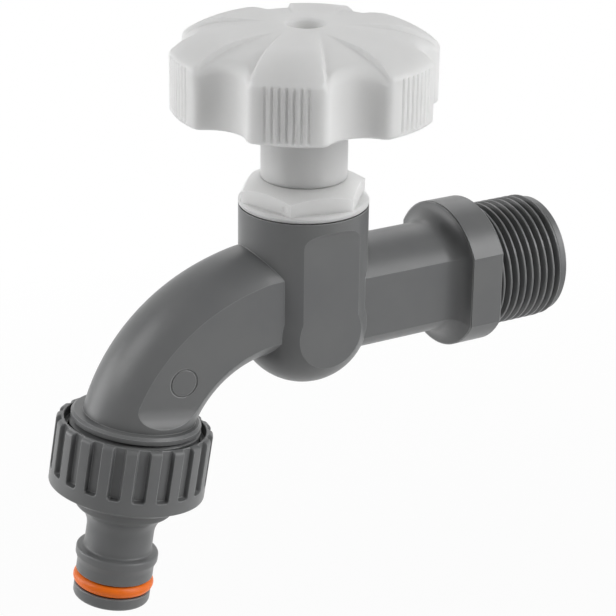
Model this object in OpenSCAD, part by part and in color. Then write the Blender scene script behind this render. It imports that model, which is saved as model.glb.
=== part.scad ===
// Garden tap with a lobed handwheel and a push-on hose connector.
// Millimetres, +Z up. The origin is on the inlet's axis at the outer end of its full thread,
// +X points out of the inlet, and the tap lies on the -X side of the origin.

/* [Inlet] */
// Distance from the spindle's axis to the free end of the inlet
inlet_reach = 57.9; // [56:0.1:70]
// Outside diameter of the inlet pipe
pipe_d = 23.2; // [22:0.1:24.4]
// Width across the two flats of the inlet pipe
pipe_af = 19.1; // [18.4:0.1:20.5]
// Diameter of the waterway in the inlet
inlet_bore_d = 16; // [12:0.5:16.4]
// Diameter of the round wrench collar
collar_d = 31; // [29.6:0.1:34]
// Width across the wrench flats of the collar
collar_af = 27; // [26:0.1:29]
// Length of the wrench collar
collar_len = 7.8; // [5:0.1:10]

/* [Pipe threads] */
// Outside diameter of the inlet and outlet threads (G 3/4)
thread_d = 26.44; // [26.2:0.02:26.5]
// Pitch of the inlet and outlet threads
thread_pitch = 1.814; // [1.6:0.002:2]
// Depth of the thread form
thread_depth = 1.16; // [0.8:0.02:1.2]
// Width of the flat on top of each thread ridge
crest_w = 0.36; // [0.2:0.02:0.5]
// Length of the threaded inlet end, from the collar to the free end
inlet_thread_len = 17.2; // [14:0.1:18]
// Length of the plain lead-in at the inlet's free end
lead_len = 2; // [1.5:0.1:3]
// Diameter of the plain lead-in
lead_d = 25.1; // [24.4:0.1:25.8]

/* [Valve chamber] */
// Diameter of the upright valve chamber
chamber_d = 26.4; // [26.2:0.1:28]
// Width across the side flats of the chamber
chamber_af = 23.1; // [22.6:0.1:24.4]
// Height of the chamber's rim above the inlet's axis
rim_z = 21.5; // [20.5:0.1:24]
// Diameter of the ball that closes the chamber below
ball_d = 27.2; // [26.6:0.1:28.4]
// Height of the ball's centre
ball_z = -3.2; // [-4.5:0.1:-2.5]
// Height at which the side flats start to run out
side_flat_z = 16.4; // [13:0.1:17.5]
// Radius of the run-out above the side flats
side_runout_r = 3.6; // [2:0.1:5]
// Diameter of the cavity above the seat
cavity_d = 19.2; // [18:0.1:19.6]
// Height of the sharp edge that the valve closes on
seat_z = 2.8; // [2.2:0.1:4]
// Diameter of the hole in the seat
seat_bore_d = 11; // [8:0.1:11.5]
// Thickness of the wall that carries the seat
seat_wall = 3; // [2:0.1:3.4]

/* [Spout] */
// Outside diameter of the spout
spout_d = 22.3; // [21.4:0.1:23]
// Width across the side flats of the spout
spout_af = 18.4; // [17.6:0.1:19.4]
// Height of the spout's centre line at the top of its bend
spout_z = 2.4; // [2:0.1:4.5]
// Distance from the spindle's axis to the centre of the spout's bend
bend_x = 9.4; // [8.5:0.1:16]
// Radius of the spout's bend
bend_r = 30; // [26:0.5:40]
// Lean of the outlet from the vertical
outlet_lean = 9.6; // [4:0.1:16]
// Diameter of the waterway in the spout
spout_bore_d = 15; // [12:0.5:15.6]
// Straight length from the end of the bend to the outlet face
outlet_len = 6; // [4:0.1:9]
// Length of the outlet thread, from the outlet face to its shoulder
outlet_thread_len = 10.4; // [9.4:0.1:12]
// Thickness of the shoulder above the outlet thread
shoulder_t = 1.4; // [1:0.1:2.5]
// Radius of the scoop at the lower end of the spout's flats
scoop_r = 5; // [2:0.1:9]
// Height of the scoop's lower edge above the shoulder
scoop_gap = 1.1; // [0.6:0.1:3]
// Diameter of the round moulding mark on the spout's flat
mark_d = 6; // [3:0.5:8]
// Place of the moulding mark round the tight bend, as an angle from the vertical
mark_a = 48.8; // [35:0.1:62]

/* [Bonnet] */
// Thickness of the flange
flange_t = 1.2; // [0.8:0.1:2]
// Width across the flats of the hexagon
hex_af = 22.6; // [22:0.1:22.9]
// Height of the hexagon, from the flange to the middle of its top
hex_h = 4.4; // [3.6:0.1:6]
// Turn of the hexagon about the spindle's axis
hex_turn = -11.7; // [-30:0.1:30]
// Diameter of the thread that holds the bonnet in the chamber
shank_d = 20; // [19.6:0.1:20.4]
// Pitch of the bonnet's thread
shank_pitch = 1.5; // [1:0.1:2]
// Length of the bonnet's shank below the flange
shank_len = 7.5; // [6:0.1:7.9]
// Outside diameter of the neck inside the handle's hub
neck_d = 13.6; // [12:0.1:13.8]
// Height of the neck above the hexagon
neck_h = 10.7; // [9:0.1:12]

/* [Valve and spindle] */
// Distance that the valve lifts from shut to full open
lift = 5; // [3:0.1:5.4]
// Lead of the spindle's thread
spindle_lead = 2; // [1.5:0.1:3]
// Outside diameter of the spindle's thread
spindle_thread_d = 12; // [10:0.1:12.6]
// Length of the spindle's thread
spindle_thread_len = 7.4; // [5:0.1:8]
// Diameter of the spindle's smooth stem
stem_d = 8.4; // [7:0.1:9]
// Width across the flats of the spindle's square end
square_w = 6.4; // [5:0.1:6.8]
// Length of the spindle's square end
square_len = 8.6; // [6:0.1:9.4]
// Diameter of the valve's rubber washer
washer_d = 14.4; // [12:0.1:15]
// Thickness of the valve's rubber washer
washer_t = 2.6; // [2:0.1:3]
// Outside diameter of the valve's carrier plate
carrier_d = 16.6; // [15.4:0.1:17.4]
// Thickness of the carrier plate above the washer
carrier_t = 1.9; // [1.4:0.1:2.4]
// Diameter of the pin that joins the carrier to the spindle
pin_d = 5; // [4:0.1:6]
// Length of the pin above the carrier plate
pin_len = 6; // [4:0.1:7]
// Thickness of the rubber rings that seal the stem
cord_t = 1.7; // [1.4:0.1:1.8]
// Diameter of the two screws
screw_d = 2.9; // [2.5:0.1:3]

/* [Handle] */
// Diameter over the lobes of the handwheel
handle_d = 53.6; // [50:0.1:60]
// Height of the lobes' grip faces
handle_h = 12; // [9:0.1:13]
// Height of the handwheel's underside above the bonnet
handle_gap = 14.5; // [14.2:0.1:18]
// Height of the domed top above the grip faces
dome_h = 4.8; // [4:0.1:7]
// Radius of the nearly flat middle of the top
crown_r = 16.3; // [10:0.1:20]
// Drop of the top from its centre to the edge of its nearly flat middle
crown_drop = 0.6; // [0.3:0.1:1.5]
// Number of lobes
lobes = 6; // [5:1:7]
// Radius of the hollows between the lobes
notch_r = 7.8; // [6:0.1:9]
// Radius of the rounded corners of each lobe
lobe_corner = 2; // [1:0.1:2.6]
// Depth of the hollows between the lobes
notch_depth = 3.8; // [2:0.1:5]
// Turn of the handwheel about the spindle's axis
handle_turn = -7.6; // [-30:0.1:30]
// Height of the raised petals over the rest of the top
petal_h = 1; // [0.3:0.1:1.4]
// Grooves in each grip face
grip_grooves = 7; // [3:1:9]
// Angle from one groove to the next
groove_step = 3; // [2.4:0.1:3.4]
// Diameter of the hub
hub_d = 17.5; // [17:0.1:19]
// Diameter of the screw well in the top
well_d = 7.2; // [7:0.1:9]
// Thickness of the handwheel's walls
handle_wall = 2.2; // [1.6:0.1:3]

/* [Hose connector] */
// Outside diameter of the grip ring
grip_d = 31.6; // [31:0.1:34]
// Height of the grip ring, from its mouth to its lower face
grip_h = 13.6; // [13:0.1:17]
// Number of ribs on the grip ring
ribs = 20; // [14:1:24]
// Depth of the grooves between the ribs
rib_depth = 1; // [0.4:0.1:1.1]
// Length of the grooves below the mouth
rib_len = 10.8; // [8:0.1:12]
// Width of the grooves between the ribs
rib_w = 2.5; // [1.6:0.1:3]
// Turn of the first groove about the outlet's axis
rib_turn = -1; // [-9:0.1:9]
// Depth of the thread inside the grip ring, from its mouth
socket_depth = 12.4; // [11.4:0.1:13.4]
// Diameter of the nipple's neck
nipple_neck_d = 13.8; // [12.6:0.1:14.4]
// Diameter of the step between the grip ring and the neck
step_d = 19.9; // [18:0.1:23]
// Thickness of the step
step_t = 3.1; // [1:0.1:4]
// Height of the hollow flare from the step down to the neck
flare_h = 4.9; // [3:0.1:6]
// Diameter of the collar that a hose connector latches behind
latch_d = 16.8; // [16:0.1:17.4]
// Diameter of the nipple's sealing end
nose_d = 15.7; // [15.2:0.1:16]
// Length of the nipple, from the grip ring's bevel to its tip
nipple_len = 23.4; // [21.4:0.1:26]
// Diameter of the bore through the nipple
nipple_bore_d = 9.4; // [7:0.1:10]
// Thickness of the orange sealing ring
o_ring_t = 2.7; // [2.2:0.1:2.8]
// Outside diameter of the orange sealing ring
o_ring_d = 16.5; // [16.2:0.1:16.8]

/* [Hidden] */
$fn = 64;
eps = 0.01;
touch = 0.002;
over = 40;
fit = 0.06;
gap = 0.3;
grey = [0.43, 0.43, 0.44];
white = [0.86, 0.86, 0.85];
brass = [0.82, 0.68, 0.4];
steel = [0.8, 0.8, 0.78];
black = [0.12, 0.12, 0.12];
orange = [0.95, 0.38, 0.1];

spindle_x = lead_len + (thread_pitch - crest_w) / 2 - inlet_reach;
collar_x1 = inlet_reach - inlet_thread_len;
collar_x0 = collar_x1 - collar_len;
edge = 0.5;
thread_r = thread_d / 2;
root_r = thread_r - thread_depth;
lower_r = 9;
seat_lip = 1.3;
lower_top = seat_z - seat_lip - seat_wall;
shank_z = rim_z - shank_len;
inner_thread_depth = 0.9;
flange_d = chamber_d;
seal_t = 1.7;
seal_r = shank_d / 2 + 0.3;
seal_z = rim_z + 0.13 - seal_t / 2;
groove_fit = 0.05;
bend_c = [-bend_x, spout_z - bend_r];
bend_end = bend_c + bend_r * [-cos(outlet_lean), sin(outlet_lean)];
outlet_p = bend_end - outlet_len * [sin(outlet_lean), cos(outlet_lean)];
shoulder_z = outlet_thread_len;
spout_cut = (spout_d - spout_af) / 2;
flat_end_z = shoulder_z + shoulder_t + scoop_gap + sqrt(2 * scoop_r * spout_cut - pow(spout_cut, 2));

bonnet_z = rim_z + 0.2;
hex_z0 = bonnet_z + flange_t;
hex_z1 = hex_z0 + hex_h;
neck_top = hex_z1 + neck_h;
washer_z = seat_z + 0.05;
plate_z = washer_z + washer_t;
spindle_z0 = plate_z + carrier_t + 0.1;
thread_top = shank_z + 6.4;
bore_top = thread_top + lift + 0.4;
stem_top = neck_top + 0.3;
square_top = stem_top + square_len;
seal1_z = hex_z1 + 1.2;
seal2_z = seal1_z + 3.2;

hub_z0 = hex_z1 + gap;
handle_z0 = hex_z1 + handle_gap;
handle_z1 = handle_z0 + handle_h;
handle_r = handle_d / 2;
cell_corner = 0.6;
web_t = 2;
square_gap = 0.4;
well_z = square_top + square_gap + web_t;
head_r = well_d / 2 - 0.5;
head_h = 1.4;
screw_len = 8.4;
cross_l = 3.8;
cross_w = 0.9;
petal_in = 2;
petal_out = 7.5;
hollow_bevel = 3.4;
web_w = 1.6;
groove_depth = 0.45;

socket_r = thread_r + 0.07;
mouth_z = shoulder_z - 0.4;
seat_face_z = mouth_z - socket_depth;
grip_z0 = mouth_z - grip_h;
bevel_h = 1.4;
bevel_w = 2.6;
bevel_z = grip_z0 - bevel_h;
step_z = bevel_z - step_t;
tip_z = bevel_z - nipple_len;
grip_r = grip_d / 2;
neck_r = nipple_neck_d / 2;
flare_w = step_d / 2 - neck_r;
flare_r = (pow(flare_w, 2) + pow(flare_h, 2)) / 2 / flare_w;
ring_z = tip_z + 4.2;
ring_r = (o_ring_d - o_ring_t + groove_fit) / 2;
latch_z = tip_z + 11;
latch_edge = 0.6;
latch_land = 1;
latch_ramp = 1.4;
tip_bevel = 0.9;
washer_bore_d = 17;

// Moves to the spindle's axis, at the height of the inlet's axis
module at_spindle() { translate([spindle_x, 0, 0]) children(); }

// Moves to the outlet face, with +Z back up the outlet
module at_outlet() { at_spindle() outlet_frame() children(); }

// Turns a shape that stands on Z so that it points along +X
module along_x() { rotate([0, 90, 0]) children(); }

// Half section of a thread's flanks: round ridges of the outside radius on a core, from start upwards
function ridge_points(outer, depth, pitch, crest, start, count) =
    [for (i = [0:count - 1], p = [[outer - depth, 0.08], [outer, (pitch - crest) / 2],
        [outer, (pitch + crest) / 2], [outer - depth, pitch - 0.08]]) [p[0], p[1] + start + i * pitch]];

// Half outline of the pipe and its collar along the pipe: widths a and b, with a hollow fillet
module pipe_outline(a, b) {
    f = b - a;
    square([a, collar_x1]);
    difference() {
        translate([0, collar_x0 - f]) square([b, f + eps]);
        translate([b, collar_x0 - f]) circle(r = f);
    }
    polygon([[0, collar_x0], [b - 0.25, collar_x0], [b, collar_x0 + 0.25], [b, collar_x1 - edge],
        [b - edge, collar_x1], [0, collar_x1]]);
}

// Inlet pipe with its collar: a turned outline cut to the outline of the side flats
module inlet_outer() {
    intersection() {
        along_x() rotate_extrude() pipe_outline(pipe_d / 2, collar_d / 2);
        rotate([0, 0, -90]) linear_extrude(height = over, center = true)
            for (s = [0, 1]) mirror([s, 0]) pipe_outline(pipe_af / 2, collar_af / 2);
    }
    count = floor((inlet_thread_len - lead_len) / thread_pitch);
    lead_x = inlet_reach - lead_len;
    lead_r = lead_d / 2;
    along_x() rotate_extrude() polygon(concat([[0, collar_x1 - 2], [root_r, collar_x1 - 2]],
        ridge_points(thread_r, thread_depth, thread_pitch, crest_w, lead_x - count * thread_pitch, count),
        [[root_r, lead_x], [lead_r, lead_x + 0.5], [lead_r, inlet_reach - 0.3],
        [lead_r - 0.3, inlet_reach], [0, inlet_reach]]));
}

// Upright chamber with its ball end and its two side flats
module chamber_outer() {
    difference() {
        union() {
            translate([0, 0, ball_z]) cylinder(d = chamber_d, h = rim_z - ball_z);
            translate([0, 0, ball_z]) sphere(d = ball_d);
        }
        for (s = [-1, 1]) {
            translate([-over / 2, s > 0 ? chamber_af / 2 : -chamber_af / 2 - over, -over])
                cube([over, over, over + side_flat_z]);
            translate([-over / 2, s * (chamber_af / 2 + side_runout_r), side_flat_z])
                along_x() cylinder(r = side_runout_r, h = over);
        }
    }
}

// Bend of the spout from the angle start, swept about the bend's centre
module bend(d, start) {
    translate([bend_c[0], 0, bend_c[1]]) rotate([90, 0, 0]) rotate([0, 0, start])
        rotate_extrude(angle = 180 - outlet_lean - start) translate([bend_r, 0]) circle(d = d);
}

// Moves to the outlet face from the spindle's axis, with +Z back up the outlet
module outlet_frame() {
    translate([outlet_p[0], 0, outlet_p[1]]) rotate([0, outlet_lean, 0]) children();
}

// Spout with flat sides that end in a scoop above the outlet's shoulder
module spout_outer() {
    difference() {
        bend(spout_d, 80);
        for (s = [-1, 1]) outlet_frame() {
            translate([-over, s > 0 ? spout_af / 2 : -spout_af / 2 - over, flat_end_z])
                cube([3 * over, over, 2 * over]);
            translate([-over, s * (spout_af / 2 + scoop_r), flat_end_z])
                along_x() cylinder(r = scoop_r, h = 3 * over);
        }
    }
}

// Threaded outlet with the shoulder above its thread, standing on the outlet face
module outlet_outer() {
    count = floor((outlet_thread_len - 1) / thread_pitch);
    top = shoulder_z + shoulder_t;
    rotate_extrude() polygon(concat([[0, 0], [root_r - 0.4, 0], [root_r, 0.4]],
        ridge_points(thread_r, thread_depth, thread_pitch, crest_w, 0.4, count),
        [[root_r, shoulder_z], [thread_r - 0.1, shoulder_z], [thread_r - 0.1, top - 0.5],
        [thread_r - 0.6, top], [0, top]]));
}

// Waterway from the inlet, under the seat wall
module lower_waterway() {
    translate([cavity_d / 2 + 2.4, 0, 0]) along_x() cylinder(d = inlet_bore_d, h = inlet_reach);
    translate([inlet_reach - 1, 0, 0]) along_x()
        cylinder(d1 = inlet_bore_d, d2 = inlet_bore_d + 2.1, h = 1.05);
    intersection() {
        union() {
            along_x() cylinder(d = inlet_bore_d, h = cavity_d / 2 + 3);
            translate([0, 0, ball_z]) sphere(r = lower_r);
        }
        translate([-over, -over, lower_top - over]) cube([3 * over, 2 * over, over]);
    }
    translate([0, 0, ball_z]) cylinder(d = seat_bore_d, h = seat_z - ball_z + 1);
}

// Waterway above the seat and down the spout
module upper_waterway() {
    floor_z = lower_top + seat_wall;
    difference() {
        translate([0, 0, floor_z]) cylinder(d = cavity_d, h = rim_z);
        translate([0, 0, floor_z - eps]) rotate_extrude()
            polygon([[0, 0], [seat_bore_d / 2 + 2.2, 0], [seat_bore_d / 2 + 1, seat_z - floor_z + eps],
                [0, seat_z - floor_z + eps]]);
    }
    translate([0, 0, shank_z - 0.8]) cylinder(d = shank_d + 2 * fit, h = over);
    translate([0, 0, seal_z - seal_t / 2 - groove_fit])
        cylinder(r = seal_r + seal_t / 2 + groove_fit, h = over);
    difference() {
        bend(spout_bore_d, 74);
        translate([-lower_r - 3, -over, floor_z - over]) cube([2 * over, 2 * over, over]);
    }
    outlet_frame() translate([0, 0, -1]) cylinder(d = spout_bore_d + 1, h = outlet_len + 1.5);
}

// Moulded body: inlet, chamber, spout and outlet in one piece
module tap_body() {
    mark_p = bend_c + bend_r * [-sin(mark_a), cos(mark_a)];
    color(grey) at_spindle() difference() {
        union() {
            chamber_outer();
            inlet_outer();
            spout_outer();
            outlet_frame() outlet_outer();
        }
        lower_waterway();
        upper_waterway();
        translate([mark_p[0], -spout_af / 2 + 0.15, mark_p[1]]) rotate([90, 0, 0]) difference() {
            cylinder(d = mark_d, h = over);
            cylinder(d = mark_d - 0.7, h = over);
        }
    }
}

// Rubber ring of round section about the spindle's axis
module ring(r, t, z) {
    at_spindle() translate([0, 0, z]) rotate_extrude() translate([r, 0]) circle(d = t);
}

// Seal between the bonnet's flange and the chamber's mouth
module bonnet_seal() { color(black) ring(seal_r, seal_t, seal_z); }

// Hexagon under a shallow cone that rounds off its corners
module hex_head() {
    corner = hex_af / 2 / cos(30);
    rise = tan(25);
    sink = flange_t / 2;
    intersection() {
        rotate([0, 0, hex_turn]) translate([0, 0, hex_z0 - sink])
            cylinder(r = corner, h = hex_h + sink, $fn = 6);
        rotate_extrude() polygon([[0, hex_z0 - sink], [corner + 1, hex_z0 - sink],
            [corner + 1, hex_z1 - (corner + 1 - hub_d / 2) * rise], [hub_d / 2, hex_z1], [0, hex_z1]]);
    }
}

// White bonnet: flange, hexagon, threaded shank and the neck that guides the spindle
module bonnet() {
    count = floor((shank_len - 2) / shank_pitch);
    undercut_r = seal_r - seal_t / 2 - groove_fit;
    color(white) at_spindle() difference() {
        union() {
            rotate_extrude() polygon(concat([[0, shank_z], [shank_d / 2 - inner_thread_depth, shank_z]],
                ridge_points(shank_d / 2, inner_thread_depth, shank_pitch, 0.3, shank_z, count),
                [[undercut_r, shank_z + count * shank_pitch], [undercut_r, bonnet_z],
                [flange_d / 2 - 0.2, bonnet_z], [flange_d / 2, bonnet_z + 0.2], [flange_d / 2, hex_z0 - 0.4],
                [flange_d / 2 - 0.4, hex_z0], [0, hex_z0]]));
            hex_head();
            translate([0, 0, hex_z1 - 1]) cylinder(d = neck_d, h = neck_h + 1);
        }
        translate([0, 0, shank_z - 1]) cylinder(d = spindle_thread_d + 2 * fit, h = bore_top - shank_z + 1);
        translate([0, 0, shank_z]) cylinder(d = stem_d + 2 * fit, h = 2 * over);
        rotate([0, 0, hex_turn - 120]) translate([0, 0, hex_z0 + 1.3]) rotate([0, 0, -30])
            translate([hex_af / 2 - 0.15, 5, 0]) along_x() cylinder(d = 1.3, h = 2);
    }
}

// Spindle: pin socket, thread, smooth stem with two ring grooves, square end
module spindle() {
    stem_r = stem_d / 2;
    groove_r = stem_r - cord_t - groove_fit;
    groove_h = cord_t / 2 + 2 * groove_fit;
    core_r = spindle_thread_d / 2 - inner_thread_depth;
    count = floor(spindle_thread_len / spindle_lead);
    color(brass) at_spindle() difference() {
        union() {
            rotate_extrude() polygon(concat([[0, spindle_z0], [core_r, spindle_z0]],
                ridge_points(spindle_thread_d / 2, inner_thread_depth, spindle_lead, 0.5,
                    thread_top - count * spindle_lead, count),
                [[core_r, thread_top], [stem_r, thread_top]],
                [for (z = [seal1_z, seal2_z], p = [[stem_r, -groove_h], [groove_r, -groove_h],
                    [groove_r, groove_h], [stem_r, groove_h]]) [p[0], z + p[1]]],
                [[stem_r, stem_top], [0, stem_top]]));
            intersection() {
                rotate([0, 0, handle_turn]) translate([-square_w / 2, -square_w / 2, stem_top - 1])
                    cube([square_w, square_w, square_len + 1]);
                cylinder(r = stem_r - 0.2, h = square_top);
            }
        }
        translate([0, 0, spindle_z0 - 1]) cylinder(d = pin_d + 2 * fit, h = pin_len + 1.3);
        translate([0, 0, well_z - screw_len - 1]) cylinder(d = screw_d, h = over);
    }
}

// Lower of the two rings that seal the spindle in the bonnet's neck
module spindle_seal_lower() { color(black) ring((stem_d - cord_t) / 2 + 0.02, cord_t, seal1_z); }

// Upper of the two rings that seal the spindle in the bonnet's neck
module spindle_seal_upper() { color(black) ring((stem_d - cord_t) / 2 + 0.02, cord_t, seal2_z); }

// Carrier plate with a lip round the washer and the pin that the spindle turns on
module valve_carrier() {
    lip = 1.2;
    color(brass) at_spindle() difference() {
        union() {
            translate([0, 0, plate_z - lip]) cylinder(d = carrier_d, h = carrier_t + lip);
            translate([0, 0, plate_z]) cylinder(d = pin_d, h = carrier_t + pin_len);
        }
        translate([0, 0, plate_z - lip - 1]) cylinder(d = washer_d + 0.2, h = lip + 1);
        translate([0, 0, plate_z - 1]) cylinder(d = screw_d, h = 5);
    }
}

// Flat rubber washer that closes on the seat
module valve_washer() {
    color(black) at_spindle() translate([0, 0, washer_z]) difference() {
        cylinder(d = washer_d, h = washer_t);
        translate([0, 0, -1]) cylinder(d = screw_d + gap, h = washer_t + 2);
    }
}

// Screw that clamps the washer to its carrier
module washer_screw() {
    color(steel) at_spindle() translate([0, 0, washer_z]) difference() {
        union() {
            translate([0, 0, -1.6]) cylinder(d = 6.4, h = 1.6);
            translate([0, 0, -0.5]) cylinder(d = screw_d - groove_fit, h = washer_t + 4);
        }
        translate([-0.5, -5, -2.6]) cube([1, 10, 1.8]);
    }
}

// Half outline of the handwheel's domed top, lowered by drop: a nearly flat crown and a round shoulder
module dome_profile(r, z_low, drop) {
    top = handle_z1 + dome_h - drop;
    crown = pow(crown_r, 2) / 2 / crown_drop + crown_drop / 2;
    inner = [crown_r, -crown_drop];
    chord = [handle_r, -dome_h] - inner;
    shoulder = -0.55 * crown * chord * chord / (chord * [crown_r, crown - crown_drop]);
    sag = sqrt(pow(shoulder, 2) - chord * chord / 4);
    bevel = 0.8 * edge;
    rise = dome_h + bevel + 1;
    intersection() {
        polygon([[0, z_low], [r - edge, z_low], [r, z_low + edge], [r, top - dome_h - bevel],
            [r - rise * tan(25), top + 1], [0, top + 1]]);
        translate([0, top - crown]) circle(r = crown, $fn = 240);
        union() {
            translate([0, z_low]) square([crown_r - 0.6, over]);
            translate([0, top] + inner + chord / 2 + sag * [chord[1], -chord[0]] / norm(chord))
                circle(r = shoulder, $fn = 120);
        }
    }
}

// Plan of the handwheel: a disc with a hollow between each two lobes and rounded lobe corners
module handle_plan(r, hollow, corner) {
    d = handle_r - notch_depth + notch_r;
    reach = hollow + corner;
    a = acos((pow(r - corner, 2) + d * d - reach * reach) / 2 / d / (r - corner));
    c = (r - corner) * [cos(a), sin(a)];
    out = [cos(a), sin(a)];
    in = ([d, 0] - c) / reach;
    difference() {
        circle(r = r + 1);
        for (i = [0:lobes - 1]) rotate((i + 0.5) * 360 / lobes) {
            translate([d, 0]) circle(r = hollow + touch);
            for (s = [0, 1]) mirror([0, s]) difference() {
                polygon([c, c + 3 * corner * out, c + 3 * corner * (out + in), c + 3 * corner * in]);
                translate(c) circle(r = corner);
            }
        }
    }
}

// Domed solid cut to the handwheel's plan
module handle_solid(r, hollow, corner, z_low, drop) {
    intersection() {
        rotate_extrude() dome_profile(r - touch, z_low, drop);
        translate([0, 0, z_low - 1]) linear_extrude(height = over) handle_plan(r, hollow, corner);
    }
}

// White handwheel: lobed dome with raised petals, grip grooves, hollow underside, webs and hub
module handwheel() {
    cell_r = handle_r - handle_wall;
    d = handle_r - notch_depth + notch_r;
    color(white) at_spindle() rotate([0, 0, handle_turn]) difference() {
        union() {
            difference() {
                union() {
                    handle_solid(handle_r, notch_r, lobe_corner, handle_z0, petal_h);
                    intersection() {
                        handle_solid(handle_r, notch_r, lobe_corner, handle_z0, 0);
                        for (i = [0:lobes - 1]) rotate([0, 0, i * 360 / lobes])
                            linear_extrude(height = 2 * over) polygon([[0, -petal_in],
                                [handle_r + 1, -petal_out], [handle_r + 1, petal_out], [0, petal_in]]);
                    }
                }
                for (i = [0:lobes - 1]) rotate([0, 0, (i + 0.5) * 360 / lobes])
                    translate([d, 0, handle_z1 + edge])
                        cylinder(r1 = notch_r, r2 = notch_r + hollow_bevel, h = hollow_bevel);
                difference() {
                    handle_solid(cell_r, notch_r + handle_wall, cell_corner, handle_z0 - 1,
                        petal_h + handle_wall);
                    cylinder(d = hub_d, h = 2 * over);
                    for (i = [0:lobes - 1]) rotate([0, 0, i * 360 / lobes])
                        translate([0, -web_w / 2, 0]) cube([over, web_w, 2 * over]);
                }
                for (i = [0:lobes - 1], k = [0:grip_grooves - 1])
                    rotate([0, 0, i * 360 / lobes + (k - (grip_grooves - 1) / 2) * groove_step])
                        translate([handle_r, 0, handle_z0 + 2 * edge])
                            cylinder(r = groove_depth, h = over, $fn = 4);
            }
            translate([0, 0, hub_z0]) cylinder(d = hub_d, h = handle_z1 - hub_z0);
        }
        translate([0, 0, hub_z0 - 1]) cylinder(d = neck_d + 2 * gap, h = stem_top + 0.3 - hub_z0 + 1);
        translate([-square_w / 2 - fit, -square_w / 2 - fit, hub_z0])
            cube([square_w + 2 * fit, square_w + 2 * fit, square_top + square_gap - hub_z0]);
        translate([0, 0, hub_z0]) cylinder(d = screw_d + gap, h = over);
        translate([0, 0, well_z]) cylinder(d = well_d, h = over);
        translate([0, 0, handle_z1 + dome_h - edge])
            cylinder(d1 = well_d, d2 = well_d + 4 * edge, h = 2 * edge);
    }
}

// Cross-head screw at the bottom of the handwheel's well
module handle_screw() {
    dome_r = 1.8 * head_r;
    color(steel) at_spindle() difference() {
        union() {
            translate([0, 0, well_z]) cylinder(r = head_r, h = head_h);
            translate([0, 0, well_z + head_h]) intersection() {
                cylinder(r = head_r, h = head_r);
                translate([0, 0, -sqrt(pow(dome_r, 2) - pow(head_r, 2))]) sphere(r = dome_r);
            }
            translate([0, 0, well_z - screw_len]) cylinder(d = screw_d - groove_fit, h = screw_len + eps);
        }
        for (a = [0, 90]) rotate([0, 0, a])
            translate([-cross_l / 2, -cross_w / 2, well_z + head_h - cross_w / 2])
                cube([cross_l, cross_w, over]);
    }
}

// Half section of the nipple's outside: step, hollow flare, neck, latch collar, ring groove and tip
module nipple_profile() {
    nose_r = nose_d / 2;
    latch_r = latch_d / 2;
    groove_r = ring_r - o_ring_t / 2;
    land_z = latch_z - latch_edge - latch_land;
    difference() {
        union() {
            polygon([[0, tip_z], [nose_r - tip_bevel, tip_z], [nose_r, tip_z + tip_bevel],
                [nose_r, ring_z - o_ring_t / 2], [groove_r, ring_z - o_ring_t / 2],
                [groove_r, ring_z + o_ring_t / 2], [nose_r, ring_z + o_ring_t / 2],
                [nose_r, land_z - latch_ramp], [latch_r, land_z], [latch_r, latch_z - latch_edge],
                [latch_r - latch_edge, latch_z], [neck_r, latch_z + 0.2], [neck_r, step_z], [0, step_z]]);
            translate([0, step_z - flare_h]) square([step_d / 2, flare_h + step_t + 0.4]);
        }
        translate([neck_r + flare_r, step_z - flare_h]) circle(r = flare_r);
    }
}

// Hose connector in one piece: ribbed grip ring with its socket, and the push-on nipple
module tap_connector() {
    color(grey) at_outlet() difference() {
        union() {
            difference() {
                rotate_extrude() polygon([[0, bevel_z], [grip_r - bevel_w, bevel_z], [grip_r - 0.2, grip_z0],
                    [grip_r, grip_z0 + 0.2], [grip_r, mouth_z - 0.8], [grip_r - 0.9, mouth_z], [0, mouth_z]]);
                for (i = [0:ribs - 1]) rotate([0, 0, rib_turn + i * 360 / ribs])
                    translate([grip_r - rib_depth, -rib_w / 2, mouth_z - rib_len]) cube([over, rib_w, over]);
            }
            rotate_extrude() nipple_profile();
        }
        translate([0, 0, seat_face_z]) cylinder(r = socket_r, h = over);
        translate([0, 0, mouth_z - 1.2]) cylinder(r = thread_r + 0.9, h = over);
        translate([0, 0, tip_z - 1]) cylinder(d = nipple_bore_d, h = over);
        translate([0, 0, bevel_z - 0.4]) cylinder(d1 = nipple_bore_d, d2 = washer_bore_d,
            h = seat_face_z - bevel_z + 0.4 + eps);
    }
}

// Flat rubber washer between the outlet face and the connector
module connector_washer() {
    color(black) at_outlet() translate([0, 0, seat_face_z + 0.02]) difference() {
        cylinder(r = socket_r - 0.3, h = -seat_face_z - 0.07);
        translate([0, 0, -1]) cylinder(d = washer_bore_d, h = over);
    }
}

// Orange ring in the groove near the nipple's tip
module nipple_seal() {
    color(orange) at_outlet() translate([0, 0, ring_z]) rotate_extrude()
        translate([ring_r, 0]) circle(d = o_ring_t - groove_fit);
}

tap_body();
bonnet_seal();
bonnet();
spindle();
spindle_seal_lower();
spindle_seal_upper();
valve_carrier();
valve_washer();
washer_screw();
handwheel();
handle_screw();
tap_connector();
connector_washer();
nipple_seal();
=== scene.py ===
"""Looks of a garden tap with a lobed handwheel and a push-on hose connector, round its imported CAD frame."""

import logging
import math
from collections.abc import Mapping, Sequence
from dataclasses import dataclass
from enum import Enum

import bmesh
import bpy
import numpy as np
from mathutils import Matrix, Vector


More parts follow.
